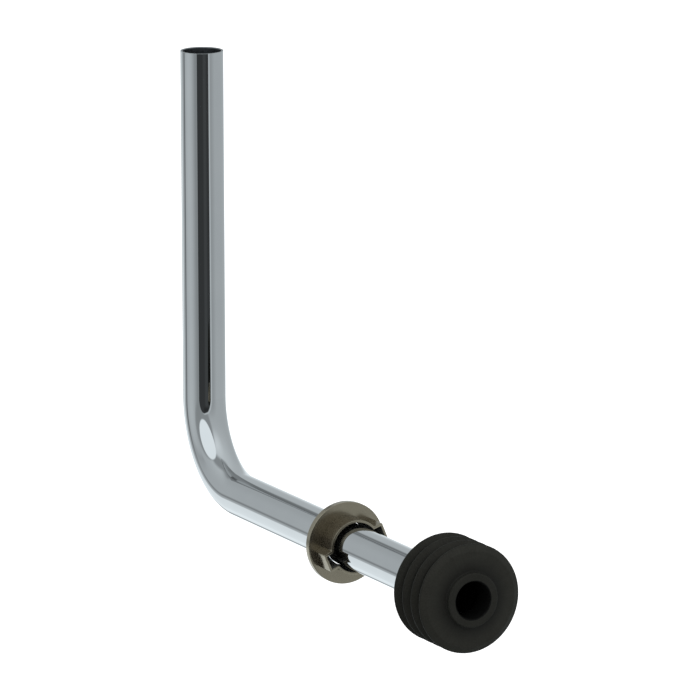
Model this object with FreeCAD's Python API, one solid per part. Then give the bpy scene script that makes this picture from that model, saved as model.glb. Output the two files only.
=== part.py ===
import FreeCAD, Part
import math
import os

from FreeCAD import Vector

# Flush pipe: a bent metal tube that carries flush water from a valve above
# into the inlet of a bowl or urinal. All sizes are in millimetres.
#
# Frame: the origin is the centre of the tube's open upper end. +Z points up,
# out of that end. +X points along the outlet leg, towards the rubber lips.

# Tube
TUBE_DIAMETER = 16.0
TUBE_WALL = 0.8
BEND_RADIUS = 32.0
RISER_LENGTH = 163.0
OUTLET_LENGTH = 205.0
TUBE_END_CHAMFER = 0.3

# Slotted collar
COLLAR_PLACE = 116.5
COLLAR_DIAMETER = 30.3
COLLAR_SHEET = 0.9
COLLAR_SKIRT_DEPTH = 2.4
COLLAR_EDGE_CHAMFER = 0.15
COLLAR_TUBE_GAP = 0.2
HUB_HEIGHT = 8.1
HUB_MOUTH_GAP = 1.15
SLOT_DEPTH = 2.6
SLOT_WIDTH = 5.1
SLOT_DRAFT = 3.0
SLOT_TURN = 22.5
SLOT_COUNT = 2
EAR_ROUND = 0.4

# Rubber lip connector
LIP_COUNT = 4
LIP_DIAMETER = 39.4
LIP_PITCH = 6.3
LIP_LAND = 1.0
LIP_BEVEL_LENGTH = 0.7
LIP_BEVEL_DEPTH = 1.2
FRONT_LIP_REACH = 6.0
CORE_WALL = 3.6
NOSE_DIAMETER = 19.6
NOSE_LENGTH = 2.1
NOSE_CHAMFER = 0.3
OUTLET_HOLE_DIAMETER = 13.6
SLEEVE_LENGTH = 4.0
SLEEVE_CHAMFER = 0.5
SOCKET_LEAD_IN = 0.5

# Sizes that follow from the ones above
tube_radius = TUBE_DIAMETER / 2
bore_radius = tube_radius - TUBE_WALL
collar_radius = COLLAR_DIAMETER / 2
mouth_radius = tube_radius + HUB_MOUTH_GAP
hub_radius = mouth_radius + COLLAR_SHEET
mouth_place = COLLAR_PLACE + HUB_HEIGHT
lip_radius = LIP_DIAMETER / 2
core_radius = tube_radius + CORE_WALL
nose_radius = NOSE_DIAMETER / 2
front_lip_place = OUTLET_LENGTH + FRONT_LIP_REACH

ALONG_OUTLET = Vector(1, 0, 0)
UP = Vector(0, 0, 1)
TOLERANCE = 1e-4


def at_outlet(shape):
    """Lower a shape from the X axis onto the outlet leg's axis."""
    shape.translate(Vector(0, 0, -RISER_LENGTH))
    return shape


def turned(corners):
    """Turn a closed profile of (x, r) corners once round the X axis."""
    points = [Vector(x, 0, r) for x, r in corners]
    profile = Part.Face(Part.makePolygon(points + points[:1]))
    return profile.revolve(Vector(0, 0, 0), ALONG_OUTLET, 360)


def tube_path():
    """The tube's centreline: down the riser, round the bend, along the outlet leg."""
    bend_top = Vector(0, 0, BEND_RADIUS - RISER_LENGTH)
    bend_end = Vector(BEND_RADIUS, 0, -RISER_LENGTH)
    reach = BEND_RADIUS * (1 - math.sqrt(0.5))
    bend_middle = Vector(reach, 0, reach - RISER_LENGTH)
    return Part.Wire([
        Part.LineSegment(Vector(0, 0, 0), bend_top).toShape(),
        Part.Arc(bend_top, bend_middle, bend_end).toShape(),
        Part.LineSegment(bend_end, Vector(OUTLET_LENGTH, 0, -RISER_LENGTH)).toShape(),
    ])


def swept(radius):
    """A solid rod of the given radius along the tube's centreline."""
    circle = Part.Wire(Part.Circle(Vector(0, 0, 0), UP, radius).toShape())
    return tube_path().makePipeShell([circle], True, False)


def round_edges(shape, radius, centre):
    """The circular edges of that radius about that centre."""
    found = []
    for edge in shape.Edges:
        if not isinstance(edge.Curve, Part.Circle):
            continue
        if abs(edge.Curve.Radius - radius) > TOLERANCE:
            continue
        if edge.Curve.Center.distanceToPoint(centre) < TOLERANCE:
            found.append(edge)
    return found


def flush_tube():
    """The bent tube, deburred inside its open end."""
    tube = swept(tube_radius).cut(swept(bore_radius))
    return tube.makeChamfer(TUBE_END_CHAMFER, round_edges(tube, bore_radius, Vector(0, 0, 0)))


def disc(radius, start, end):
    """A plain round slab on the X axis between two places."""
    return Part.makeCylinder(radius, end - start, Vector(start, 0, 0), ALONG_OUTLET)


def slot_block(margin):
    """A block from the disc to the hub's mouth that holds one slot, larger all round by margin."""
    outer = mouth_radius + SLOT_DEPTH + margin
    half_tip = SLOT_WIDTH / 2 + margin
    half_root = half_tip + outer * math.tan(math.radians(SLOT_DRAFT))
    corners = [
        Vector(COLLAR_PLACE, 0, -half_root),
        Vector(COLLAR_PLACE, outer, -half_tip),
        Vector(COLLAR_PLACE, outer, half_tip),
        Vector(COLLAR_PLACE, 0, half_root),
    ]
    section = Part.Face(Part.makePolygon(corners + corners[:1]))
    return section.extrude(ALONG_OUTLET * HUB_HEIGHT)


def ear():
    """The solid box round one slot, with its two outer edges rounded."""
    block = slot_block(COLLAR_SHEET)
    outer_edges = []
    for edge in block.Edges:
        first, last = [vertex.Point for vertex in edge.Vertexes]
        along_axis = abs(first.x - last.x) > TOLERANCE
        if along_axis and first.y > mouth_radius + SLOT_DEPTH:
            outer_edges.append(edge)
    return block.makeFillet(EAR_ROUND, outer_edges)


def turned_copies(shape):
    """One copy of the shape for each slot, spread evenly round the axis."""
    copies = []
    for k in range(SLOT_COUNT):
        copy = shape.copy()
        turn = SLOT_TURN + k * 360 / SLOT_COUNT
        copy.rotate(Vector(0, 0, 0), ALONG_OUTLET, turn)
        copies.append(copy)
    return copies


def slotted_collar():
    """Disc with a turned-back rim and a hollow hub whose mouth is widened by boxed slots."""
    back = COLLAR_PLACE - COLLAR_SHEET
    skirt_back = COLLAR_PLACE - COLLAR_SKIRT_DEPTH
    plate = disc(collar_radius, skirt_back, COLLAR_PLACE)
    rim = round_edges(plate, collar_radius, Vector(COLLAR_PLACE, 0, 0))
    plate = plate.makeChamfer(COLLAR_EDGE_CHAMFER, rim)
    hub = disc(hub_radius, COLLAR_PLACE, mouth_place)
    outside = plate.fuse([hub] + turned_copies(ear()))
    recess = disc(collar_radius - COLLAR_SHEET, skirt_back, back)
    hollow = disc(mouth_radius, COLLAR_PLACE, mouth_place)
    tube_hole = disc(tube_radius + COLLAR_TUBE_GAP, skirt_back, mouth_place)
    openings = [recess, hollow, tube_hole] + turned_copies(slot_block(0))
    collar = outside.cut(openings).removeSplitter()
    return at_outlet(collar)


def lip_corners(place):
    """Corners of one lip, from its back root over the tip and its bevel to its front root."""
    tip_back = place - LIP_LAND / 2
    tip_front = place + LIP_LAND / 2
    face = tip_front + LIP_BEVEL_LENGTH
    return [
        (tip_back, core_radius),
        (tip_back, lip_radius),
        (tip_front, lip_radius),
        (face, lip_radius - LIP_BEVEL_DEPTH),
        (face, core_radius),
    ]


def nose_corners(root):
    """The nose from its root on the front lip, over its end, into the outlet hole."""
    end = root + NOSE_LENGTH
    hole_radius = OUTLET_HOLE_DIAMETER / 2
    return [
        (root, nose_radius),
        (end - NOSE_CHAMFER, nose_radius),
        (end, nose_radius - NOSE_CHAMFER),
        (end, hole_radius),
        (OUTLET_LENGTH, hole_radius),
    ]


def lip_connector():
    """Rubber connector: lips outside, a socket that stops the tube inside, a nose in front."""
    lips = []
    for k in range(LIP_COUNT):
        lips += lip_corners(front_lip_place - (LIP_COUNT - 1 - k) * LIP_PITCH)
    front_face = lips.pop()[0]
    back = lips[0][0] - SLEEVE_LENGTH
    sleeve = [(back, core_radius - SLEEVE_CHAMFER), (back + SLEEVE_CHAMFER, core_radius)]
    socket = [
        (OUTLET_LENGTH, tube_radius),
        (back + SOCKET_LEAD_IN, tube_radius),
        (back, tube_radius + SOCKET_LEAD_IN),
    ]
    return at_outlet(turned(sleeve + lips + nose_corners(front_face) + socket))


def main():
    """Write each piece to its own file."""
    os.makedirs("parts", exist_ok=True)
    pieces = {
        "flush_tube": flush_tube(),
        "slotted_collar": slotted_collar(),
        "lip_connector": lip_connector(),
    }
    for name, shape in pieces.items():
        print(name, len(shape.Solids), "solid, valid:", shape.isValid(), "volume:", round(shape.Volume))
        shape.exportStep("parts/" + name + ".step")


main()
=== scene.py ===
"""Looks of a flush pipe: a bent chromed tube, a slotted metal collar and a rubber lip connector.

Lengths are in metres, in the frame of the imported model: +Z leaves the tube's open upper end and
+X runs along the outlet leg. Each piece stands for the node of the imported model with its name.
"""
import logging
import math
from dataclasses import dataclass, replace
from enum import IntEnum
from typing import Any, Iterable, Sequence

import bmesh
import bpy
import numpy as np
from mathutils import Matrix, Vector


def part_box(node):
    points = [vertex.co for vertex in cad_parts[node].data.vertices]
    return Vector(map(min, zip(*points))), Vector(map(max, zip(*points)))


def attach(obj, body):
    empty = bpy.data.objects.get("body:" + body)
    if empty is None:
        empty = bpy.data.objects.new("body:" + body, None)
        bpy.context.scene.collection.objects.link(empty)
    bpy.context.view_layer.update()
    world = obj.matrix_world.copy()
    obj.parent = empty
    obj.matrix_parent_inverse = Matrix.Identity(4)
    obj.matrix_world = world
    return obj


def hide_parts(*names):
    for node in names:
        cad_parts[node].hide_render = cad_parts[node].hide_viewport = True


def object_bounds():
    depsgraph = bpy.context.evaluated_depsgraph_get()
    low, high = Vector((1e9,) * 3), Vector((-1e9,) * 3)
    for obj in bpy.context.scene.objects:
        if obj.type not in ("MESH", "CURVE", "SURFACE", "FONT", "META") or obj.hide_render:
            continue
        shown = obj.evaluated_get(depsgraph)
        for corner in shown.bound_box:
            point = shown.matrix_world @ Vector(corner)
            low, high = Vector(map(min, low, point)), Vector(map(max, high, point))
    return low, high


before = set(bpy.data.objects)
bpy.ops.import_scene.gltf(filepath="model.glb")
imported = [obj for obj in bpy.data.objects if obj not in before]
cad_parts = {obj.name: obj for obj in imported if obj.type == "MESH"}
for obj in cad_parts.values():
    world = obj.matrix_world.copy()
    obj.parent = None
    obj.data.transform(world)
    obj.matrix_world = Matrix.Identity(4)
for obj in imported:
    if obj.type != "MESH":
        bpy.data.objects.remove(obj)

MM = 0.001
PHOTO_PIXELS = 700
CRISP_ANGLE = math.radians(40)
BODY = "root"
log = logging.getLogger("flush_pipe")

Point = tuple[float, float]
Place = tuple[float, float, float]
Colour = tuple[float, float, float]


def display_level(code: float) -> float:
    """Linear value of a display level.

    Args:
        code: The level on a scale from 0 to 255.

    Returns:
        The linear value, from 0 to 1.
    """
    share = code / 255
    if share <= 0.04045:
        return share / 12.92
    return ((share + 0.055) / 1.055) ** 2.4


def opaque(colour: Colour) -> tuple[float, float, float, float]:
    """The colour with a full fourth channel."""
    return (*colour, 1.0)


WHITE = opaque((1.0, 1.0, 1.0))


def rounded_corner(before: Point, corner: Point, after: Point, radius: float, steps: int) -> list[Point]:
    """Round one corner of a profile with an arc.

    Args:
        before: A point on the line that leads to the corner.
        corner: The sharp corner.
        after: A point on the line that leaves the corner.
        radius: Radius of the arc, or 0 to keep the corner sharp.
        steps: Number of chords of the arc.

    Returns:
        The arc's points, in the order of the profile.
    """
    if radius == 0:
        return [corner]
    tip = np.array(corner)
    back = np.array(before) - tip
    onward = np.array(after) - tip
    back = back / np.linalg.norm(back)
    onward = onward / np.linalg.norm(onward)
    half = math.acos(float(np.clip(back @ onward, -1, 1))) / 2
    middle = back + onward
    centre = tip + middle / np.linalg.norm(middle) * radius / math.sin(half)
    first = tip + back * radius / math.tan(half) - centre
    last = tip + onward * radius / math.tan(half) - centre
    across = last - first * (first @ last) / radius**2
    across = across / np.linalg.norm(across) * radius
    sweep = math.pi - 2 * half
    angles = np.linspace(0, sweep, steps + 1)
    return [tuple(centre + first * math.cos(t) + across * math.sin(t)) for t in angles]


@dataclass(frozen=True)
class Corner:
    """A corner of a turned profile, and the patch of the surface that runs on from it."""

    along: float
    radius: float
    rounding: float
    patch: int


def rounded_profile(corners: Sequence[Corner], steps: int) -> list[tuple[Point, int]]:
    """Round every corner of a closed profile.

    Args:
        corners: The profile's corners, in order.
        steps: Number of chords of each arc.

    Returns:
        Each point of the profile with the patch that runs on from it.
    """
    places = [(corner.along, corner.radius) for corner in corners]
    points = []
    for k, corner in enumerate(corners):
        after = places[(k + 1) % len(places)]
        for point in rounded_corner(places[k - 1], places[k], after, corner.rounding, steps):
            points.append((point, corner.patch))
    return points


class RingSkin:
    """A closed skin laid over a loop of rings that have the same number of points."""

    def __init__(self) -> None:
        """Start with no rings."""
        self.rings: list[np.ndarray] = []
        self.patches: list[int] = []

    def add(self, ring: np.ndarray, patch: int) -> None:
        """Add one ring.

        Args:
            ring: The ring's points, one per row.
            patch: The patch of the strip that runs on from this ring.
        """
        self.rings.append(ring)
        self.patches.append(int(patch))

    def build(self, name: str, finishes: Iterable[bpy.types.Material]) -> bpy.types.Object:
        """Make the mesh object.

        Args:
            name: Name of the object.
            finishes: Materials, in the order of the patches.

        Returns:
            The object, with smooth shading that keeps its flats flat.
        """
        count = len(self.rings[0])
        here = np.arange(count)
        beside = (here + 1) % count
        faces: list[list[int]] = []
        for k in range(len(self.rings)):
            low = k * count
            high = (k + 1) % len(self.rings) * count
            strip = np.stack([low + here, low + beside, high + beside, high + here], axis=1)
            faces.extend(strip.tolist())
        mesh = bpy.data.meshes.new(name)
        mesh.from_pydata(np.concatenate(self.rings).tolist(), [], faces)
        mesh.polygons.foreach_set("material_index", np.repeat(self.patches, count).astype(np.int32))
        for finish in finishes:
            mesh.materials.append(finish)
        shell = bmesh.new()
        shell.from_mesh(mesh)
        bmesh.ops.recalc_face_normals(shell, faces=shell.faces)
        shell.to_mesh(mesh)
        shell.free()
        mesh.shade_smooth()
        mesh.set_sharp_from_angle(angle=CRISP_ANGLE)
        piece = bpy.data.objects.new(name, mesh)
        bpy.context.scene.collection.objects.link(piece)
        normals = piece.modifiers.new("flat_faces_stay_flat", "WEIGHTED_NORMAL")
        normals.mode = "FACE_AREA"
        normals.keep_sharp = True
        return piece


class NodeBench:
    """Adds nodes to one node tree and wires them."""

    def __init__(self, tree: bpy.types.NodeTree) -> None:
        """Empty the tree and keep it."""
        self.tree = tree
        tree.nodes.clear()

    def add(self, kind: str, **settings: Any) -> bpy.types.Node:
        """Add a node.

        Args:
            kind: Blender's name of the node type.
            settings: Properties to set on the node.

        Returns:
            The new node.
        """
        node = self.tree.nodes.new(kind)
        for key, value in settings.items():
            setattr(node, key, value)
        return node

    def feed(self, socket: bpy.types.NodeSocket, source: Any) -> None:
        """Link a socket to another one, or set its value.

        Args:
            socket: The input socket.
            source: The socket to link it to, or the value to give it.
        """
        if isinstance(source, bpy.types.NodeSocket):
            self.tree.links.new(source, socket)
        else:
            socket.default_value = source

    def math(self, operation: str, *terms: Any) -> bpy.types.NodeSocket:
        """Work out a number.

        Args:
            operation: The Math node's operation.
            terms: Its inputs, as sockets or numbers.

        Returns:
            The result's socket.
        """
        node = self.add("ShaderNodeMath", operation=operation)
        for socket, term in zip(node.inputs, terms):
            self.feed(socket, term)
        return node.outputs[0]

    def dot(self, vector: bpy.types.NodeSocket, axis: Sequence[float]) -> bpy.types.NodeSocket:
        """The vector's length along a fixed axis.

        Args:
            vector: The vector's socket.
            axis: The axis, of length 1.

        Returns:
            The length's socket.
        """
        node = self.add("ShaderNodeVectorMath", operation="DOT_PRODUCT")
        self.feed(node.inputs[0], vector)
        self.feed(node.inputs[1], tuple(axis))
        return node.outputs["Value"]

    def ramp(
        self, value: Any, low: float, high: float, first: Any = 0.0, last: Any = 1.0
    ) -> bpy.types.NodeSocket:
        """Ease a number from one level to another.

        Args:
            value: The number's socket.
            low: Where the ease starts.
            high: Where it ends.
            first: Result at and before the start.
            last: Result at and after the end.

        Returns:
            The result's socket.
        """
        node = self.add("ShaderNodeMapRange", interpolation_type="SMOOTHSTEP")
        sources = {"Value": value, "From Min": low, "From Max": high, "To Min": first, "To Max": last}
        for name, source in sources.items():
            self.feed(node.inputs[name], source)
        return node.outputs["Result"]

    def blend(self, share: Any, first: Any, last: Any) -> bpy.types.NodeSocket:
        """Mix two numbers.

        Args:
            share: Share of the last number.
            first: The first number.
            last: The last number.

        Returns:
            The mixed number's socket.
        """
        node = self.add("ShaderNodeMix", data_type="FLOAT")
        self.feed(node.inputs[0], share)
        self.feed(node.inputs[2], first)
        self.feed(node.inputs[3], last)
        return node.outputs[0]

    def blend_colour(self, share: Any, first: Any, last: Any) -> bpy.types.NodeSocket:
        """Mix two colours.

        Args:
            share: Share of the last colour.
            first: The first colour.
            last: The last colour.

        Returns:
            The mixed colour's socket.
        """
        node = self.add("ShaderNodeMix", data_type="RGBA")
        self.feed(node.inputs[0], share)
        self.feed(node.inputs[6], first)
        self.feed(node.inputs[7], last)
        return node.outputs[2]

    def choose(self, share: Any, first: Any, last: Any) -> bpy.types.NodeSocket:
        """Mix two shaders.

        Args:
            share: Share of the last shader.
            first: The first shader.
            last: The last shader.

        Returns:
            The mixed shader's socket.
        """
        node = self.add("ShaderNodeMixShader")
        for socket, source in zip(node.inputs, (share, first, last)):
            self.feed(socket, source)
        return node.outputs[0]

    def noise(self, place: bpy.types.NodeSocket, scale: Any, detail: float) -> bpy.types.NodeSocket:
        """Smooth noise from 0 to 1 at a place.

        Args:
            place: The place's socket.
            scale: Noise cells per metre.
            detail: Octaves of finer noise on top.

        Returns:
            The noise's socket.
        """
        node = self.add("ShaderNodeTexNoise", normalize=True)
        self.feed(node.inputs["Vector"], place)
        self.feed(node.inputs["Scale"], scale)
        node.inputs["Detail"].default_value = detail
        return node.outputs["Fac"]


class SurfaceEffects:
    """The node groups that the finishes share."""

    patch_range: Point = (0.3, 0.7)
    patch_detail: float = 3.0
    grain_detail: float = 4.0
    ripple_detail: float = 1.0

    def __init__(self) -> None:
        """Build each group once."""
        self.variation = self.soft_variation()
        self.grain = self.fine_grain()

    @staticmethod
    def sockets(tree: bpy.types.NodeTree, inputs: dict[str, float], outputs: Sequence[str]) -> None:
        """Give a group its named number sockets.

        Args:
            tree: The group.
            inputs: Input names with their default values.
            outputs: Output names.
        """
        for name, value in inputs.items():
            socket = tree.interface.new_socket(name=name, in_out="INPUT", socket_type="NodeSocketFloat")
            socket.default_value = value
        for name in outputs:
            tree.interface.new_socket(name=name, in_out="OUTPUT", socket_type="NodeSocketFloat")

    def soft_variation(self) -> bpy.types.NodeTree:
        """Make a value that drifts between two levels over patches of a given size.

        Returns:
            The group, which also puts out the mask of the patches.
        """
        tree = bpy.data.node_groups.new("Soft Variation", "ShaderNodeTree")
        self.sockets(tree, {"Patch Size": 0.01, "Low": 0.0, "High": 1.0}, ["Value", "Mask"])
        bench = NodeBench(tree)
        given = bench.add("NodeGroupInput")
        result = bench.add("NodeGroupOutput")
        place = bench.add("ShaderNodeTexCoord").outputs["Object"]
        scale = bench.math("DIVIDE", 1.0, given.outputs["Patch Size"])
        mask = bench.ramp(bench.noise(place, scale, self.patch_detail), *self.patch_range)
        bench.feed(result.inputs["Mask"], mask)
        value = bench.blend(mask, given.outputs["Low"], given.outputs["High"])
        bench.feed(result.inputs["Value"], value)
        return tree

    def fine_grain(self) -> bpy.types.NodeTree:
        """Make a height out of fine grain and longer ripples.

        Returns:
            The group.
        """
        tree = bpy.data.node_groups.new("Fine Grain", "ShaderNodeTree")
        inputs = {"Grain Size": 0.0002, "Grain Height": 1.0, "Ripple Size": 0.01, "Ripple Height": 0.0}
        self.sockets(tree, inputs, ["Height"])
        bench = NodeBench(tree)
        given = bench.add("NodeGroupInput")
        result = bench.add("NodeGroupOutput")
        place = bench.add("ShaderNodeTexCoord").outputs["Object"]
        parts = []
        for name, detail in (("Grain", self.grain_detail), ("Ripple", self.ripple_detail)):
            scale = bench.math("DIVIDE", 1.0, given.outputs[name + " Size"])
            height = bench.noise(place, scale, detail)
            parts.append(bench.math("MULTIPLY", height, given.outputs[name + " Height"]))
        bench.feed(result.inputs["Height"], bench.math("ADD", *parts))
        return tree


@dataclass(frozen=True)
class Finish:
    """A finish: two shades that drift into each other, a roughness range and a fine relief."""

    name: str
    shade: Colour
    other_shade: Colour
    metallic: float
    roughness: tuple[float, float]
    patch_size: float
    grain_size: float
    grain_height: float
    ripple_size: float = 0.02
    ripple_height: float = 0.0
    specular: float = 0.5

    def material(self, effects: SurfaceEffects) -> bpy.types.Material:
        """Make the material.

        Args:
            effects: The shared node groups.

        Returns:
            The material, with its shader wired.
        """
        material = bpy.data.materials.new(self.name)
        material.use_nodes = True
        bench = NodeBench(material.node_tree)
        surface = bench.add("ShaderNodeOutputMaterial")
        shader = bench.add("ShaderNodeBsdfPrincipled")
        bench.feed(surface.inputs["Surface"], shader.outputs["BSDF"])
        shader.inputs["Metallic"].default_value = self.metallic
        shader.inputs["Specular IOR Level"].default_value = self.specular
        variation = bench.add("ShaderNodeGroup", node_tree=effects.variation)
        variation.inputs["Patch Size"].default_value = self.patch_size
        variation.inputs["Low"].default_value, variation.inputs["High"].default_value = self.roughness
        bench.feed(shader.inputs["Roughness"], variation.outputs["Value"])
        shade = bench.blend_colour(variation.outputs["Mask"], opaque(self.shade), opaque(self.other_shade))
        bench.feed(shader.inputs["Base Color"], self.streaks_and_painted_shade(bench, shade))
        grain = bench.add("ShaderNodeGroup", node_tree=effects.grain)
        grain.inputs["Grain Size"].default_value = self.grain_size
        grain.inputs["Grain Height"].default_value = self.grain_height
        grain.inputs["Ripple Size"].default_value = self.ripple_size
        grain.inputs["Ripple Height"].default_value = self.ripple_height
        relief = bench.add("ShaderNodeBump")
        relief.inputs["Distance"].default_value = 1.0
        bench.feed(relief.inputs["Height"], grain.outputs["Height"])
        bench.feed(shader.inputs["Normal"], relief.outputs["Normal"])
        return material

    def streaks_and_painted_shade(self, bench: NodeBench, shade: bpy.types.NodeSocket) -> bpy.types.NodeSocket:
        """The shade as it is: a plain finish has no streaks and no painted shade."""
        return shade


@dataclass(frozen=True)
class RubberFinish(Finish):
    """Moulded rubber: faint streaks outward from the axis, fine speckles, and painted shade round the
    nose, in the valleys between the lips and at the lips' tips.
    """

    axis_height: float = 0.0
    streaks_round: float = 40.0
    streak_detail: float = 4.0
    streak_shade: Colour = (0.024, 0.0242, 0.02)
    streak_share: float = 0.35
    streak_range: Point = (0.45, 0.75)
    speckle_size: float = 0.5 * MM
    speckle_detail: float = 1.0
    speckle_share: float = 0.25
    speckle_range: Point = (0.35, 0.65)
    # Painted shade: where and how strongly the rubber is darkened round the nose, in the valleys behind
    # the front lip and at the lips' tips, and the dark colour it is mixed towards.
    painted_nose_shade_radii: Point = (9.6 * MM, 16.0 * MM)
    nose_places: Point = (0.0, 0.0)
    painted_shade_colour: Colour = (0.004, 0.004, 0.003)
    painted_nose_shade_share: float = 0.72
    painted_shade_on_nose_face: float = 0.4
    painted_tip_shade_radii: Point = (19.3 * MM, 19.6 * MM)
    painted_tip_shade_share: float = 0.37
    painted_valley_shade_radii: Point = (16.8 * MM, 18.4 * MM)
    painted_valley_shade_share: float = 0.45
    front_lip_back: float = 0.0

    def streaks_and_painted_shade(self, bench: NodeBench, shade: bpy.types.NodeSocket) -> bpy.types.NodeSocket:
        """Lay streaks and speckles over the shade, and paint shade round the nose, into the valleys behind
        the front lip and onto the lips' tips.

        Args:
            bench: The material's bench.
            shade: The plain shade's socket.

        Returns:
            The finished shade's socket.
        """
        place = bench.add("ShaderNodeTexCoord").outputs["Object"]
        parts = bench.add("ShaderNodeSeparateXYZ")
        bench.feed(parts.inputs[0], place)
        across = bench.add("ShaderNodeCombineXYZ")
        bench.feed(across.inputs["Y"], parts.outputs["Y"])
        bench.feed(across.inputs["Z"], bench.math("SUBTRACT", parts.outputs["Z"], self.axis_height))
        outward = bench.add("ShaderNodeVectorMath", operation="NORMALIZE")
        bench.feed(outward.inputs[0], across.outputs[0])
        streaks = bench.noise(outward.outputs[0], self.streaks_round, self.streak_detail)
        share = bench.ramp(streaks, *self.streak_range, 0.0, self.streak_share)
        shade = bench.blend_colour(share, shade, opaque(self.streak_shade))
        speckles = bench.noise(place, 1 / self.speckle_size, self.speckle_detail)
        share = bench.ramp(speckles, *self.speckle_range, 0.0, self.speckle_share)
        shade = bench.blend_colour(share, shade, opaque(self.streak_shade))
        length = bench.add("ShaderNodeVectorMath", operation="LENGTH")
        bench.feed(length.inputs[0], across.outputs[0])
        radius, along = length.outputs["Value"], parts.outputs["X"]
        # Painted shade, mixed in towards a dark colour: round the nose, in the valleys behind the front
        # lip and at the lips' tips.
        nose_painted_shade = bench.ramp(radius, *self.painted_nose_shade_radii, self.painted_nose_shade_share, 0.0)
        behind_nose = bench.ramp(along, *self.nose_places, 1.0, self.painted_shade_on_nose_face)
        valley_painted_shade = bench.ramp(radius, *self.painted_valley_shade_radii, self.painted_valley_shade_share, 0.0)
        behind_lip = bench.math("LESS_THAN", along, self.front_lip_back)
        painted_shade = bench.ramp(radius, *self.painted_tip_shade_radii, 0.0, self.painted_tip_shade_share)
        for depth, place_mask in ((nose_painted_shade, behind_nose), (valley_painted_shade, behind_lip)):
            masked = bench.math("MULTIPLY", depth, place_mask)
            painted_shade = bench.math("MAXIMUM", painted_shade, masked)
        return bench.blend_colour(painted_shade, shade, opaque(self.painted_shade_colour))


class TubePatch(IntEnum):
    """Surfaces of the tube."""

    OUTSIDE = 0
    CUT_EDGE = 1
    BORE = 2


@dataclass
class FlushTube:
    """The bent tube: a straight riser, one bend and a straight outlet leg."""

    radius: float
    riser_length: float
    outlet_length: float
    wall: float = 0.8 * MM
    bend_radius: float = 32.0 * MM
    outer_rim_round: float = 0.03 * MM
    inner_rim_round: float = 0.3 * MM
    hidden_end_round: float = 0.05 * MM
    ring_points: int = 128
    bend_rings: int = 64
    ring_spacing: float = 9.0 * MM
    rim_steps: int = 4

    @classmethod
    def from_frame(cls) -> "FlushTube":
        """Take the tube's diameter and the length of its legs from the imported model.

        Returns:
            The tube with its sizes.
        """
        low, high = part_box("flush_tube")
        radius = -low.x
        return cls(radius=radius, riser_length=-low.z - radius, outlet_length=high.x)

    def length(self) -> float:
        """Length of the centreline."""
        straight = self.riser_length + self.outlet_length - 2 * self.bend_radius
        return straight + self.bend_radius * math.pi / 2

    def ring(self, station: float, radius: float) -> np.ndarray:
        """One ring, square to the centreline.

        Args:
            station: Distance along the centreline from the open upper end.
            radius: Radius of the ring.

        Returns:
            The ring's points.
        """
        past_riser = station - (self.riser_length - self.bend_radius)
        turn = min(max(past_riser / self.bend_radius, 0.0), math.pi / 2)
        ahead = np.array([math.sin(turn), 0.0, -math.cos(turn)])
        inward = np.array([math.cos(turn), 0.0, math.sin(turn)])
        bend_centre = np.array([self.bend_radius, 0.0, self.bend_radius - self.riser_length])
        straight_on = past_riser - self.bend_radius * turn
        centre = bend_centre - self.bend_radius * inward + straight_on * ahead
        angles = np.arange(self.ring_points) * 2 * math.pi / self.ring_points
        sideways = np.array([0.0, 1.0, 0.0])
        return centre + radius * (np.outer(np.cos(angles), inward) + np.outer(np.sin(angles), sideways))

    def stations(self) -> list[float]:
        """Place the rings between the two ends, close together in the bend.

        Returns:
            The rings' distances along the centreline, in order.
        """
        bend_start = self.riser_length - self.bend_radius
        bend_end = bend_start + self.bend_radius * math.pi / 2
        stations: list[float] = []
        for start, end in ((0.0, bend_start), (bend_end, self.length())):
            count = math.ceil((end - start) / self.ring_spacing)
            stations += np.linspace(start, end, count + 1)[1:-1].tolist()
        stations += np.linspace(bend_start, bend_end, self.bend_rings + 1).tolist()
        return sorted(stations)

    def build(self, finishes: Sequence[bpy.types.Material]) -> bpy.types.Object:
        """Make the tube's piece.

        Args:
            finishes: Materials of the outside, the cut edge and the bore.

        Returns:
            The tube's object.
        """
        bore = self.radius - self.wall
        end = self.length()
        corners = [
            Corner(0.0, bore, self.inner_rim_round, TubePatch.CUT_EDGE),
            Corner(0.0, self.radius, self.outer_rim_round, TubePatch.OUTSIDE),
            Corner(end, self.radius, self.hidden_end_round, TubePatch.CUT_EDGE),
            Corner(end, bore, self.hidden_end_round, TubePatch.BORE),
        ]
        profile = rounded_profile(corners, self.rim_steps)
        skin = RingSkin()
        per_corner = self.rim_steps + 1
        for k, ((station, radius), patch) in enumerate(profile):
            skin.add(self.ring(station, radius), patch)
            if k + 1 == 2 * per_corner:
                for middle in self.stations():
                    skin.add(self.ring(middle, self.radius), TubePatch.OUTSIDE)
        for middle in reversed(self.stations()):
            skin.add(self.ring(middle, bore), TubePatch.BORE)
        return skin.build("chromed_tube", finishes)


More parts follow.
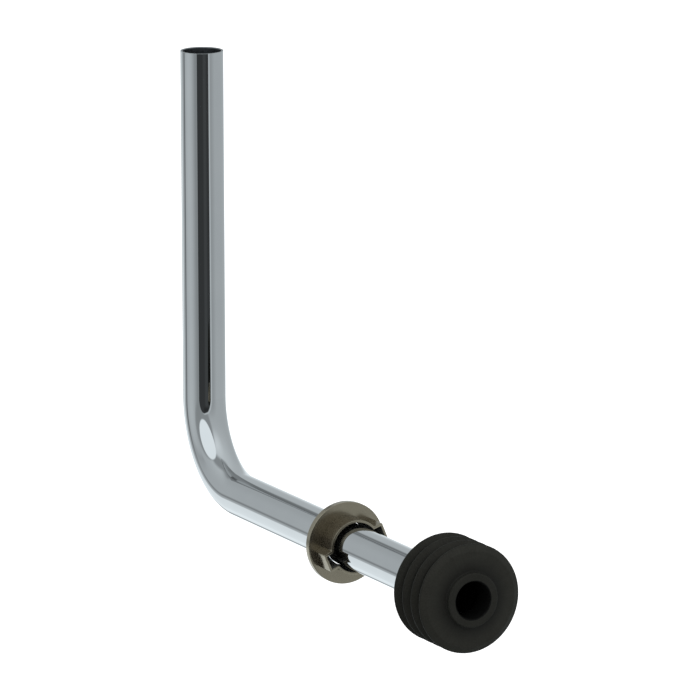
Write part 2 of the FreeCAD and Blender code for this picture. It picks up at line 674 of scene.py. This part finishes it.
@dataclass(frozen=True)
class EaredOutline:
    """Outline of the collar's hub: a circle with two opposite boxes that taper outwards."""

    circle: float
    reach: float
    half_tip: float
    draft: float
    corner: float
    root_round: float

    def grown(self, by: float) -> "EaredOutline":
        """The outline at a distance outside this one, or inside it if the distance is negative."""
        return replace(
            self,
            circle=self.circle + by,
            reach=self.reach + by,
            half_tip=self.half_tip + by,
            corner=max(self.corner + by, self.corner / 4),
        )

    def radii(self, angles: np.ndarray) -> np.ndarray:
        """Distance of the outline from the axis.

        Args:
            angles: Directions, measured from the middle of one box.

        Returns:
            The distance in each direction.
        """
        off_middle = np.abs((angles + math.pi / 2) % math.pi - math.pi / 2)
        sine, cosine = np.sin(off_middle), np.cos(off_middle)
        half_root = self.half_tip + self.reach * math.tan(self.draft)
        side = half_root / (sine + cosine * math.tan(self.draft))
        box = np.minimum(self.reach / cosine, side)
        centre_x = self.reach - self.corner
        side_offset = half_root * math.cos(self.draft) - self.corner
        centre_y = (side_offset - math.sin(self.draft) * centre_x) / math.cos(self.draft)
        on_flat = math.atan2(centre_y, self.reach)
        on_side_x = centre_x + self.corner * math.sin(self.draft)
        on_side = math.atan2(centre_y + self.corner * math.cos(self.draft), on_side_x)
        along = centre_x * cosine + centre_y * sine
        aside = np.maximum(self.corner**2 - (centre_x**2 + centre_y**2 - along**2), 0.0)
        in_corner = (off_middle > on_flat) & (off_middle < on_side)
        box = np.where(in_corner, along + np.sqrt(aside), box)
        closeness = np.maximum(self.root_round - np.abs(box - self.circle), 0.0)
        return np.maximum(box, self.circle) + closeness**2 / (4 * self.root_round)


class CollarPatch(IntEnum):
    """Surfaces of the collar."""

    OUTSIDE = 0
    INSIDE = 1
    BACK = 2


@dataclass
class SlottedCollar:
    """The collar: a disc with a rim turned back, and a hollow hub widened by two boxed slots."""

    place: float
    axis_height: float
    radius: float
    mouth_place: float
    back_place: float
    tube_radius: float
    sheet: float = 0.9 * MM
    tube_gap: float = 0.2 * MM
    mouth_gap: float = 1.15 * MM
    slot_depth: float = 2.6 * MM
    slot_width: float = 5.1 * MM
    slot_draft: float = math.radians(3.0)
    slot_turn: float = math.radians(22.5)
    ear_round: float = 0.45 * MM
    slot_round: float = 0.2 * MM
    root_round: float = 0.25 * MM
    mouth_round: float = 0.12 * MM
    rim_round: float = 0.22 * MM
    skirt_depth: float = 2.4 * MM
    plate_shares: tuple[float, ...] = (0.25, 0.5, 0.75)
    steps: int = 4
    coarse_step: float = math.radians(2.0)
    fine_step: float = math.radians(0.25)
    fine_reach: float = math.radians(24.0)

    @classmethod
    def from_frame(cls, tube: FlushTube) -> "SlottedCollar":
        """Take the collar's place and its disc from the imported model.

        Args:
            tube: The tube that the collar sits round.

        Returns:
            The collar with its sizes.
        """
        low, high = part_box("slotted_collar")
        return cls(
            place=low.x + cls.skirt_depth,
            axis_height=(low.z + high.z) / 2,
            radius=high.y,
            mouth_place=high.x,
            back_place=low.x,
            tube_radius=tube.radius,
        )

    def angles(self) -> np.ndarray:
        """Spread the points of a ring, close together round the boxes.

        Returns:
            The points' directions, measured from the middle of one box.
        """
        count = round(math.pi / self.coarse_step)
        coarse = np.arange(count) * math.pi / count - math.pi / 2
        fine_count = round(2 * self.fine_reach / self.fine_step)
        fine = np.linspace(-self.fine_reach, self.fine_reach, fine_count + 1)
        half = np.concatenate([coarse[np.abs(coarse) > self.fine_reach + self.fine_step], fine])
        half.sort()
        return np.concatenate([half, half + math.pi])

    def ring(self, along: float, radii: np.ndarray) -> np.ndarray:
        """One ring round the outlet leg's axis.

        Args:
            along: The ring's place on the X axis.
            radii: Its distance from the axis in each direction.

        Returns:
            The ring's points.
        """
        angles = self.angles() + self.slot_turn
        across = radii * np.cos(angles)
        height = self.axis_height + radii * np.sin(angles)
        return np.stack([np.full_like(radii, along), across, height], axis=1)

    def build(self, finishes: Sequence[bpy.types.Material]) -> bpy.types.Object:
        """Make the collar's piece.

        Args:
            finishes: Materials of the outside, the inside and the back.

        Returns:
            The collar's object.
        """
        angles = self.angles()
        mouth_radius = self.tube_radius + self.mouth_gap
        mouth = EaredOutline(
            circle=mouth_radius,
            reach=mouth_radius + self.slot_depth,
            half_tip=self.slot_width / 2,
            draft=self.slot_draft,
            corner=self.slot_round,
            root_round=self.root_round,
        )
        hub = replace(mouth.grown(self.sheet), corner=self.ear_round)
        skin = RingSkin()

        def lay(outline: EaredOutline | float, points: Iterable[Point], patch: int) -> None:
            """Add a ring for each point.

            Args:
                outline: The hub's or mouth's outline, or the radius of a circle.
                points: Places along the axis, each with its distance outside the outline.
                patch: The patch of the strips that run on from the rings.
            """
            for along, out in points:
                if isinstance(outline, EaredOutline):
                    skin.add(self.ring(along, outline.grown(out).radii(angles)), patch)
                else:
                    skin.add(self.ring(along, np.full_like(angles, outline + out)), patch)

        def edge(
            outline: EaredOutline | float, along: float, before: Point, after: Point,
            rounding: float, patch: int,
        ) -> None:
            """Add the rings of one rounded edge.

            Args:
                outline: The hub's or mouth's outline, or the radius of a circle.
                along: The edge's place on the axis.
                before: Direction from the edge along the side that leads to it.
                after: Direction from the edge along the side that leaves it.
                rounding: Radius of the round.
                patch: The patch of the strips that run on from the edge.
            """
            corner = (along, 0.0)
            start = (along + before[0], before[1])
            end = (along + after[0], after[1])
            lay(outline, rounded_corner(start, corner, end, rounding, self.steps), patch)

        forward, backward, outward, inward = (1.0, 0.0), (-1.0, 0.0), (0.0, 1.0), (0.0, -1.0)
        hole = self.tube_radius + self.tube_gap
        plate_back = self.place - self.sheet
        recess = self.radius - self.sheet
        inside, outside, back = CollarPatch.INSIDE, CollarPatch.OUTSIDE, CollarPatch.BACK
        edge(hole, plate_back, outward, forward, 0.0, inside)
        edge(hole, self.place, backward, outward, 0.0, inside)
        edge(mouth, self.place, inward, forward, 0.0, inside)
        edge(mouth, self.mouth_place, backward, outward, self.mouth_round, outside)
        edge(hub, self.mouth_place, inward, backward, self.mouth_round, outside)
        edge(hub, self.place, forward, outward, 0.0, outside)
        hub_radii = hub.radii(angles)
        rim_start = self.radius - self.rim_round
        for share in self.plate_shares:
            radii = hub_radii + (rim_start - hub_radii) * share
            skin.add(self.ring(self.place, radii), outside)
        edge(self.radius, self.place, inward, backward, self.rim_round, outside)
        edge(self.radius, self.back_place, forward, inward, self.mouth_round, back)
        edge(recess, self.back_place, outward, forward, self.mouth_round, back)
        edge(recess, plate_back, backward, inward, 0.0, back)
        return skin.build("slotted_metal_collar", finishes)


class RubberPatch(IntEnum):
    """Surfaces of the rubber connector."""

    OUTSIDE = 0
    BORE = 1


@dataclass
class LipConnector:
    """The rubber connector: four round lips, a short nose with the outlet hole, and a socket."""

    back_place: float
    nose_place: float
    lip_radius: float
    axis_height: float
    tube_radius: float
    tube_end: float
    lip_count: int = 4
    lip_pitch: float = 6.3 * MM
    front_lip_reach: float = 6.0 * MM
    lip_back: float = 0.6 * MM
    lip_land: float = 0.7 * MM
    bevel_length: float = 1.25 * MM
    bevel_depth: float = 2.4 * MM
    front_cone: float = 0.7 * MM
    back_lean: float = 0.4 * MM
    core_wall: float = 3.6 * MM
    tip_back_round: float = 0.3 * MM
    tip_front_round: float = 0.5 * MM
    bevel_round: float = 1.5 * MM
    valley_round: float = 0.7 * MM
    sleeve_round: float = 0.8 * MM
    nose_radius: float = 9.8 * MM
    nose_root_depth: float = 1.5 * MM
    nose_root_round: float = 0.8 * MM
    nose_round: float = 0.5 * MM
    hole_radius: float = 6.8 * MM
    hole_round: float = 0.4 * MM
    hidden_round: float = 0.1 * MM
    socket_round: float = 0.4 * MM
    # Band just inside the lips' tips that gets painted shade, given as depths below the tip radius.
    painted_tip_shade_band: Point = (0.4 * MM, 0.1 * MM)
    ring_points: int = 192
    steps: int = 6

    @classmethod
    def from_frame(cls, tube: FlushTube) -> "LipConnector":
        """Take the connector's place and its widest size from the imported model.

        Args:
            tube: The tube that ends in the connector.

        Returns:
            The connector with its sizes.
        """
        low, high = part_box("lip_connector")
        return cls(
            back_place=low.x,
            nose_place=high.x,
            lip_radius=high.y,
            axis_height=(low.z + high.z) / 2,
            tube_radius=tube.radius,
            tube_end=tube.outlet_length,
        )

    def lip(self, place: float) -> list[Corner]:
        """Corners of one lip.

        Args:
            place: The lip's place on the X axis.

        Returns:
            The corners, from the back root over the tip to the front root.
        """
        back = place - self.lip_back
        front = back + self.lip_land
        bevel_end = front + self.bevel_length
        core = self.tube_radius + self.core_wall
        outside = RubberPatch.OUTSIDE
        return [
            Corner(back + self.back_lean, core, self.valley_round, outside),
            Corner(back, self.lip_radius, self.tip_back_round, outside),
            Corner(front, self.lip_radius, self.tip_front_round, outside),
            Corner(bevel_end, self.lip_radius - self.bevel_depth, self.bevel_round, outside),
            Corner(bevel_end + self.front_cone, core, self.valley_round, outside),
        ]

    def corners(self) -> list[Corner]:
        """Corners of the whole profile.

        Returns:
            The corners, from the sleeve's back end round to the socket.
        """
        core = self.tube_radius + self.core_wall
        outside, bore = RubberPatch.OUTSIDE, RubberPatch.BORE
        corners = [Corner(self.back_place, core, self.sleeve_round, outside)]
        front = self.tube_end + self.front_lip_reach
        for k in range(self.lip_count):
            corners += self.lip(front - (self.lip_count - 1 - k) * self.lip_pitch)
        nose_root = self.nose_place - self.nose_root_depth
        corners[-1] = Corner(nose_root, self.nose_radius, self.nose_root_round, outside)
        corners += [
            Corner(self.nose_place, self.nose_radius, self.nose_round, outside),
            Corner(self.nose_place, self.hole_radius, self.hole_round, bore),
            Corner(self.tube_end, self.hole_radius, self.hidden_round, bore),
            Corner(self.tube_end, self.tube_radius, self.hidden_round, bore),
            Corner(self.back_place, self.tube_radius, self.socket_round, outside),
        ]
        return corners

    def fitted(self, plain: RubberFinish) -> RubberFinish:
        """Fit the rubber's painted shade to the connector.

        Args:
            plain: The rubber finish.

        Returns:
            The finish with its painted shade round the nose, in the valleys and at the lips' tips in
            place.
        """
        start, end = self.painted_tip_shade_band
        return replace(
            plain,
            axis_height=self.axis_height,
            nose_places=(self.nose_place - self.nose_root_depth, self.nose_place),
            painted_tip_shade_radii=(self.lip_radius - start, self.lip_radius - end),
            front_lip_back=self.tube_end + self.front_lip_reach - self.lip_back,
        )

    def build(self, finishes: Sequence[bpy.types.Material]) -> bpy.types.Object:
        """Make the connector's piece.

        Args:
            finishes: Materials of the outside and the bore.

        Returns:
            The connector's object.
        """
        angles = np.arange(self.ring_points) * 2 * math.pi / self.ring_points
        skin = RingSkin()
        for (along, radius), patch in rounded_profile(self.corners(), self.steps):
            across = radius * np.cos(angles)
            height = self.axis_height + radius * np.sin(angles)
            skin.add(np.stack([np.full_like(angles, along), across, height], axis=1), patch)
        return skin.build("rubber_lip_connector", finishes)


@dataclass(frozen=True)
class SoftPanel:
    """A soft-edged panel of the studio, as the object sees it: angles in degrees, sizes as tangents."""

    azimuth: float
    elevation: float
    tilt: float
    half_width: float
    half_height: float
    corner: float
    softness: float
    level: float
    least_depth: float = 0.02
    full_depth: float = 0.1

    def mask(self, bench: NodeBench, direction: bpy.types.NodeSocket) -> bpy.types.NodeSocket:
        """Where the panel shows.

        Args:
            bench: The world's bench.
            direction: Socket of the direction looked in.

        Returns:
            Socket of the mask, 1 on the panel.
        """
        azimuth, elevation = math.radians(self.azimuth), math.radians(self.elevation)
        reach = math.cos(elevation)
        middle = Vector((reach * math.cos(azimuth), reach * math.sin(azimuth), math.sin(elevation)))
        right = middle.cross(Vector((0, 0, 1))).normalized()
        tilted = Matrix.Rotation(math.radians(self.tilt), 3, middle)
        right = tilted @ right
        up = right.cross(middle)
        depth = bench.dot(direction, middle)
        safe_depth = bench.math("MAXIMUM", depth, self.least_depth)
        past_edges = []
        for axis, half in ((right, self.half_width), (up, self.half_height)):
            across = bench.math("DIVIDE", bench.dot(direction, axis), safe_depth)
            past_edges.append(bench.math("SUBTRACT", bench.math("ABSOLUTE", across), half - self.corner))
        outside = [bench.math("POWER", bench.math("MAXIMUM", edge, 0.0), 2.0) for edge in past_edges]
        distance = bench.math("SQRT", bench.math("ADD", *outside))
        inside = bench.math("MINIMUM", bench.math("MAXIMUM", *past_edges), 0.0)
        signed = bench.math("SUBTRACT", bench.math("ADD", distance, inside), self.corner)
        shown = bench.ramp(signed, -self.softness, self.softness, 1.0, 0.0)
        return bench.math("MULTIPLY", shown, bench.ramp(depth, 0.0, self.full_depth))


@dataclass(frozen=True)
class Studio:
    """The plain studio: soft walls, panels that the metal mirrors, and a white background."""

    mirror: float = 0.55
    tint: Colour = (0.92, 1.0, 1.04)
    wall_level: float = 159.0
    ceiling_level: float = 184.0
    ceiling_power: float = 2.5
    floor_level: float = 210.0
    floor_heights: Point = (-0.21, -0.25)
    second_mirror: float = 0.65
    first_mirror_depth: float = 1.5
    matt_level: float = 0.95
    key_direction: Place = (0.20, 0.10, 0.97)
    key_lean: float = 0.9
    panels: tuple[SoftPanel, ...] = (
        SoftPanel(-138, 72, 0, 0.45, 0.25, 0.22, 0.12, 131),
        SoftPanel(5, 66, 0, 0.30, 0.30, 0.28, 0.35, 198),
        SoftPanel(-173, 28, 0, 0.20, 0.60, 0.20, 0.20, 153),
        SoftPanel(-177, 50, 0, 0.16, 0.28, 0.15, 0.12, 124),
        SoftPanel(171.5, 29, 0, 0.06, 0.07, 0.06, 0.05, 108),
        SoftPanel(-105, -8, 0, 0.30, 0.25, 0.24, 0.25, 172),
        SoftPanel(143, -5, 0, 0.10, 0.12, 0.10, 0.31, 224),
        SoftPanel(15, -62, 0, 0.95, 0.62, 0.55, 0.35, 158),
        SoftPanel(-52, 30, 0, 0.88, 0.86, 0.84, 0.17, 131),
        SoftPanel(8, -12, 0, 0.45, 0.40, 0.38, 0.30, 143),
        SoftPanel(-60, -12, 0, 0.20, 0.45, 0.20, 0.28, 128),
        SoftPanel(-126, 4, 52, 0.34, 0.05, 0.05, 0.10, 146),
        SoftPanel(-151, -6.5, 0, 0.14, 0.04, 0.04, 0.045, 120),
        SoftPanel(-138, -11, 0, 0.09, 0.09, 0.09, 0.07, 98),
        SoftPanel(-56, 43.5, 0, 0.60, 0.60, 0.60, 0.04, 220),
        SoftPanel(-18.5, -22, 0, 0.66, 0.64, 0.54, 0.03, 174),
        SoftPanel(-23, -24, 0, 0.61, 0.63, 0.50, 0.025, 50),
        SoftPanel(-14, -16, 0, 0.14, 0.30, 0.14, 0.08, 61),
        SoftPanel(-19, 3, 0, 0.20, 0.05, 0.05, 0.07, 38),
        SoftPanel(-170, -13.5, 0, 0.17, 0.065, 0.06, 0.04, 208),
        SoftPanel(-178, -31, 0, 0.05, 0.05, 0.05, 0.06, 219),
        SoftPanel(166, -25, 0, 0.08, 0.08, 0.08, 0.05, 125),
    )

    def strength(self, level: float) -> float:
        """Strength at which the chrome mirrors a wall at the given display level."""
        return display_level(level) / self.mirror

    def light(self) -> None:
        """Make the world and give it to the scene."""
        world = bpy.data.worlds.new("plain_studio")
        bpy.context.scene.world = world
        world.use_nodes = True
        bench = NodeBench(world.node_tree)
        direction = bench.add("ShaderNodeTexCoord").outputs["Generated"]
        height = bench.dot(direction, (0, 0, 1))
        rise = bench.math("POWER", bench.math("MAXIMUM", height, 0.0), self.ceiling_power)
        seen = bench.blend(rise, self.strength(self.wall_level), self.strength(self.ceiling_level))
        below = bench.ramp(height, *self.floor_heights)
        seen = bench.blend(below, seen, self.strength(self.floor_level))
        for panel in self.panels:
            seen = bench.blend(panel.mask(bench, direction), seen, self.strength(panel.level))
        mirrored = bench.add("ShaderNodeVectorMath", operation="SCALE")
        mirrored.inputs[0].default_value = self.tint
        bench.feed(mirrored.inputs["Scale"], seen)
        key = bench.dot(direction, Vector(self.key_direction).normalized())
        lean = bench.math("MULTIPLY", key, self.key_lean)
        matt = bench.add("ShaderNodeVectorMath", operation="SCALE")
        matt.inputs[0].default_value = (self.matt_level,) * 3
        bench.feed(matt.inputs["Scale"], bench.math("ADD", lean, 1.0))
        path = bench.add("ShaderNodeLightPath")
        depth = path.outputs["Glossy Depth"]
        mirrored_twice = bench.math("GREATER_THAN", depth, self.first_mirror_depth)
        dimmed = bench.blend(mirrored_twice, 1.0, self.second_mirror)
        shown = bench.math("MAXIMUM", path.outputs["Is Camera Ray"], path.outputs["Is Transmission Ray"])
        walls = self.backdrop(bench, mirrored.outputs[0], dimmed)
        light = self.backdrop(bench, matt.outputs[0], 1.0)
        white = self.backdrop(bench, WHITE, 1.0)
        surface = bench.add("ShaderNodeOutputWorld")
        lit = bench.choose(path.outputs["Is Diffuse Ray"], walls, light)
        bench.feed(surface.inputs["Surface"], bench.choose(shown, lit, white))
        world.cycles.sampling_method = "NONE"

    @staticmethod
    def backdrop(bench: NodeBench, colour: Any, strength: Any) -> bpy.types.NodeSocket:
        """Make a background.

        Args:
            bench: The world's bench.
            colour: Its colour, as a socket or a value.
            strength: Its strength, as a socket or a number.

        Returns:
            The background's shader socket.
        """
        background = bench.add("ShaderNodeBackground")
        bench.feed(background.inputs["Color"], colour)
        bench.feed(background.inputs["Strength"], strength)
        return background.outputs[0]


@dataclass(frozen=True)
class PaleFloor:
    """A wide pale floor below the pipe, which hangs from its upper end."""

    drop: float = 100.0 * MM
    half_size: float = 6.0
    shade: Colour = (0.4, 0.4, 0.4)
    roughness: float = 0.9
    lift: float = 0.75

    def material(self) -> bpy.types.Material:
        """Make the floor's material.

        Returns:
            The material, white to the camera where nothing shades it.
        """
        material = bpy.data.materials.new("pale_floor")
        material.use_nodes = True
        bench = NodeBench(material.node_tree)
        path = bench.add("ShaderNodeLightPath")
        shown = path.outputs["Is Camera Ray"]
        for kind in ("Is Glossy Ray", "Is Transmission Ray"):
            shown = bench.math("MAXIMUM", shown, path.outputs[kind])
        shader = bench.add("ShaderNodeBsdfPrincipled")
        shader.inputs["Base Color"].default_value = opaque(self.shade)
        shader.inputs["Roughness"].default_value = self.roughness
        shader.inputs["Emission Color"].default_value = WHITE
        bench.feed(shader.inputs["Emission Strength"], bench.math("MULTIPLY", shown, self.lift))
        surface = bench.add("ShaderNodeOutputMaterial")
        bench.feed(surface.inputs["Surface"], shader.outputs["BSDF"])
        return material

    def lay(self, lowest: float) -> bpy.types.Object:
        """Lay the floor.

        Args:
            lowest: Height of the pipe's lowest point.

        Returns:
            The floor's object.
        """
        height = lowest - self.drop
        half = self.half_size
        outline = ((-half, -half), (half, -half), (half, half), (-half, half))
        corners = [(x, y, height) for x, y in outline]
        mesh = bpy.data.meshes.new("floor")
        mesh.from_pydata(corners, [], [(0, 1, 2, 3)])
        mesh.materials.append(self.material())
        floor = bpy.data.objects.new("floor", mesh)
        bpy.context.scene.collection.objects.link(floor)
        floor.visible_glossy = False
        floor.visible_diffuse = False
        return floor


@dataclass(frozen=True)
class PhotoCamera:
    """The camera, at the photograph's viewing angle."""

    place: Place = (2.43196, -1.18124, 0.46187)
    heading: float = math.radians(62.937)
    down_tilt: float = math.radians(12.022)
    roll: float = math.radians(0.188)
    focal_pixels: float = 7390.3
    sensor_width: float = 36.0
    nearest: float = 0.5
    farthest: float = 20.0

    def set_up(self) -> bpy.types.Object:
        """Make the camera and give it to the scene.

        Returns:
            The camera's object.
        """
        lens = bpy.data.cameras.new("photo_camera")
        lens.sensor_width = self.sensor_width
        lens.lens = self.focal_pixels / PHOTO_PIXELS * self.sensor_width
        lens.clip_start, lens.clip_end = self.nearest, self.farthest
        camera = bpy.data.objects.new("photo_camera", lens)
        bpy.context.scene.collection.objects.link(camera)
        heading = Matrix.Rotation(self.heading, 4, "Z")
        tilt = Matrix.Rotation(math.pi / 2 - self.down_tilt, 4, "X")
        roll = Matrix.Rotation(-self.roll, 4, "Z")
        camera.matrix_world = Matrix.Translation(self.place) @ heading @ tilt @ roll
        bpy.context.scene.camera = camera
        return camera


@dataclass(frozen=True)
class Finishes:
    """Every finish of the pipe."""

    chrome: Finish = Finish(
        name="polished_chrome",
        shade=(0.555, 0.56, 0.562),
        other_shade=(0.54, 0.546, 0.55),
        metallic=1.0,
        roughness=(0.03, 0.05),
        patch_size=14 * MM,
        grain_size=0.4 * MM,
        grain_height=0.00002 * MM,
        ripple_size=9 * MM,
        ripple_height=0.004 * MM,
    )
    cut_edge: Finish = Finish(
        name="cut_tube_edge",
        shade=(0.26, 0.265, 0.27),
        other_shade=(0.21, 0.215, 0.22),
        metallic=1.0,
        roughness=(0.25, 0.38),
        patch_size=1.5 * MM,
        grain_size=0.15 * MM,
        grain_height=0.002 * MM,
    )
    # The bore is the tube's real dull unplated inside. Its low shade is also painted shade for the unlit
    # inside of the tube.
    tube_bore: Finish = Finish(
        name="dull_tube_bore_painted_shade",
        shade=(0.14, 0.145, 0.155),
        other_shade=(0.11, 0.114, 0.122),
        metallic=1.0,
        roughness=(0.35, 0.5),
        patch_size=4 * MM,
        grain_size=0.3 * MM,
        grain_height=0.003 * MM,
    )
    collar_outside: Finish = Finish(
        name="satin_collar_metal",
        shade=(0.300, 0.265, 0.199),
        other_shade=(0.286, 0.253, 0.190),
        metallic=0.93,
        roughness=(0.17, 0.20),
        patch_size=5 * MM,
        grain_size=0.12 * MM,
        grain_height=0.0003 * MM,
    )
    # Painted shade: the collar's inside is the same sheet metal, given a dark matt colour for the shade in
    # its hollow hub and slots.
    collar_inside: Finish = Finish(
        name="collar_inside_painted_shade",
        shade=(0.075, 0.075, 0.068),
        other_shade=(0.06, 0.06, 0.055),
        metallic=0.0,
        roughness=(0.5, 0.6),
        patch_size=3 * MM,
        grain_size=0.2 * MM,
        grain_height=0.002 * MM,
        specular=0.3,
    )
    # The rubber's material also carries painted shade round the nose, in the valleys and at the lips'
    # tips.
    rubber: RubberFinish = RubberFinish(
        name="matt_black_rubber_painted_shade",
        shade=(0.0150, 0.0149, 0.0114),
        other_shade=(0.0131, 0.0130, 0.0100),
        metallic=0.0,
        roughness=(0.64, 0.72),
        patch_size=6 * MM,
        grain_size=0.25 * MM,
        grain_height=0.05 * MM,
        specular=0.15,
    )
    # Painted shade: the bore is the same rubber, darkened to stand for the unlit inside of the hole.
    rubber_bore: Finish = Finish(
        name="rubber_bore_painted_shade",
        shade=(0.0036, 0.0036, 0.0033),
        other_shade=(0.003, 0.003, 0.0027),
        metallic=0.0,
        roughness=(0.7, 0.8),
        patch_size=4 * MM,
        grain_size=0.3 * MM,
        grain_height=0.02 * MM,
        specular=0.1,
    )


def fit(piece: bpy.types.Object, node: str) -> None:
    """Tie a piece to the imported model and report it.

    Args:
        piece: The finished piece.
        node: The node that it stands for.
    """
    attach(piece, BODY)
    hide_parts(node)
    mesh = piece.data
    points, faces = len(mesh.vertices), len(mesh.polygons)
    log.info("%s stands for %s: %d points, %d faces", piece.name, node, points, faces)


def main() -> None:
    """Build the pieces, the studio and the camera."""
    logging.basicConfig(level=logging.INFO, format="%(name)s: %(message)s")
    model_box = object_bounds()
    bpy.context.scene.view_settings.view_transform = "Standard"
    effects = SurfaceEffects()
    finishes = Finishes()
    tube = FlushTube.from_frame()
    collar = SlottedCollar.from_frame(tube)
    connector = LipConnector.from_frame(tube)
    chrome = finishes.chrome.material(effects)
    cut_edge = finishes.cut_edge.material(effects)
    tube_bore = finishes.tube_bore.material(effects)
    outside = finishes.collar_outside.material(effects)
    inside = finishes.collar_inside.material(effects)
    rubber = connector.fitted(finishes.rubber).material(effects)
    rubber_bore = finishes.rubber_bore.material(effects)
    fit(tube.build([chrome, cut_edge, tube_bore]), "flush_tube")
    fit(collar.build([outside, inside, outside]), "slotted_collar")
    fit(connector.build([rubber, rubber_bore]), "lip_connector")
    PaleFloor().lay(model_box[0].z)
    Studio().light()
    PhotoCamera().set_up()


if __name__ == "__main__":
    main()
